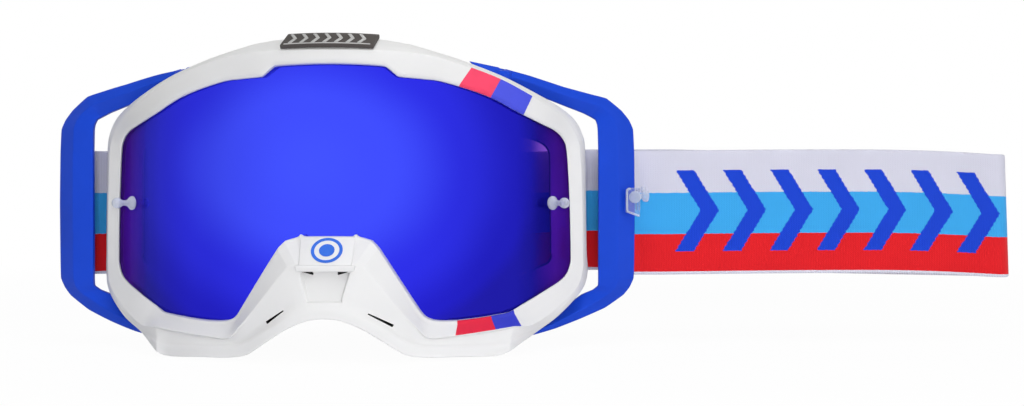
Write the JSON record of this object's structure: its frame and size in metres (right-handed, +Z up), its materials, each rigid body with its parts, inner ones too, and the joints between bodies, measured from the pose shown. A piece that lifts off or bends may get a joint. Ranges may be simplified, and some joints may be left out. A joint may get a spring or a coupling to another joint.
{
  "type": "motocross goggles",
  "caption": "Motocross goggles with a one-piece curved lens, moulded frame, hinged outriggers, layered face foam and a wide striped elastic strap.",
  "frame": {"origin": "middle of the face seal: on the mid-plane, on the plane of the foam's temple ends, at the height of the tear-off posts", "axes": "+Z up as worn, +Y from the lens towards the wearer's face, +X towards the viewer's right when the lens is looked at"},
  "size_m": [0.3479, 0.0806, 0.1073],
  "materials": {
    "frame_white": "satin white flexible moulding",
    "rear_white": "satin white moulding",
    "mirror_lens": "blue mirror coating over a purple tint",
    "clear_plastic": "clear polished plastic",
    "foam_grey": "open-cell foam",
    "foam_dark": "soft foam",
    "fleece": "brushed fleece",
    "filter_foam": "coarse filter foam",
    "plaque_rubber": "matt moulded rubber with pale raised lines",
    "badge_blue": "printed",
    "print_red": "printed",
    "print_blue": "printed",
    "pin_steel": "plain steel",
    "outrigger_blue": "satin blue moulding",
    "webbing": "elastic webbing with white, light blue and red stripes",
    "silicone": "translucent silicone beads",
    "adjuster_black": "black moulding"
  },
  "bodies": {
    "goggle": {"front_frame": "frame_white", "rear_frame": "rear_white", "lens": "mirror_lens", "post_left": "clear_plastic", "post_right": "clear_plastic", "foam_base": "foam_grey", "foam_middle": "foam_dark", "foam_fleece": "fleece", "vent_foam_top": "filter_foam", "vent_foam_cheek_left": "filter_foam", "vent_foam_cheek_right": "filter_foam", "brow_plaque": "plaque_rubber", "nose_badge": "badge_blue", "decal_brow_red": "print_red", "decal_brow_blue": "print_blue", "decal_cheek_red": "print_red", "decal_cheek_blue": "print_blue", "hinge_pins_left": "pin_steel", "hinge_pins_right": "pin_steel", "strap": "webbing", "grip_beads": "silicone"},
    "outrigger_left": {"outrigger_left": "outrigger_blue"},
    "outrigger_right": {"outrigger_right": "outrigger_blue", "tab_clip": "clear_plastic"},
    "loop_left": {"strap_loop_left": "webbing"},
    "loop_right": {"strap_loop_right": "webbing"},
    "slider": {"adjuster": "adjuster_black"}
  },
  "joints": [
    {"name": "outrigger_left_hinge", "type": "hinge", "parent": "goggle", "child": "outrigger_left", "pos_m": [-0.056, -0.0275, 0], "axis": [0, 0, -1], "range_deg": [0, 10]},
    {"name": "outrigger_right_hinge", "type": "hinge", "parent": "goggle", "child": "outrigger_right", "pos_m": [0.056, -0.0275, 0], "axis": [0, 0, 1], "range_deg": [0, 10]},
    {"name": "loop_left_turn", "type": "hinge", "parent": "outrigger_left", "child": "loop_left", "pos_m": [-0.1005, -0.0095, 0], "axis": [0, 0, -1], "range_deg": [-10, 0]},
    {"name": "loop_right_turn", "type": "hinge", "parent": "outrigger_right", "child": "loop_right", "pos_m": [0.1005, -0.0095, 0], "axis": [0, 0, 1], "range_deg": [-10, 0]},
    {"name": "adjuster_slide", "type": "slide", "parent": "goggle", "child": "slider", "axis": [1, 0, 0], "range_m": [-0.03, 0.03]}
  ],
  "couplings": [
    {"joint": "loop_left_turn", "follows": "outrigger_left_hinge", "ratio": -1},
    {"joint": "loop_right_turn", "follows": "outrigger_right_hinge", "ratio": -1}
  ]
}
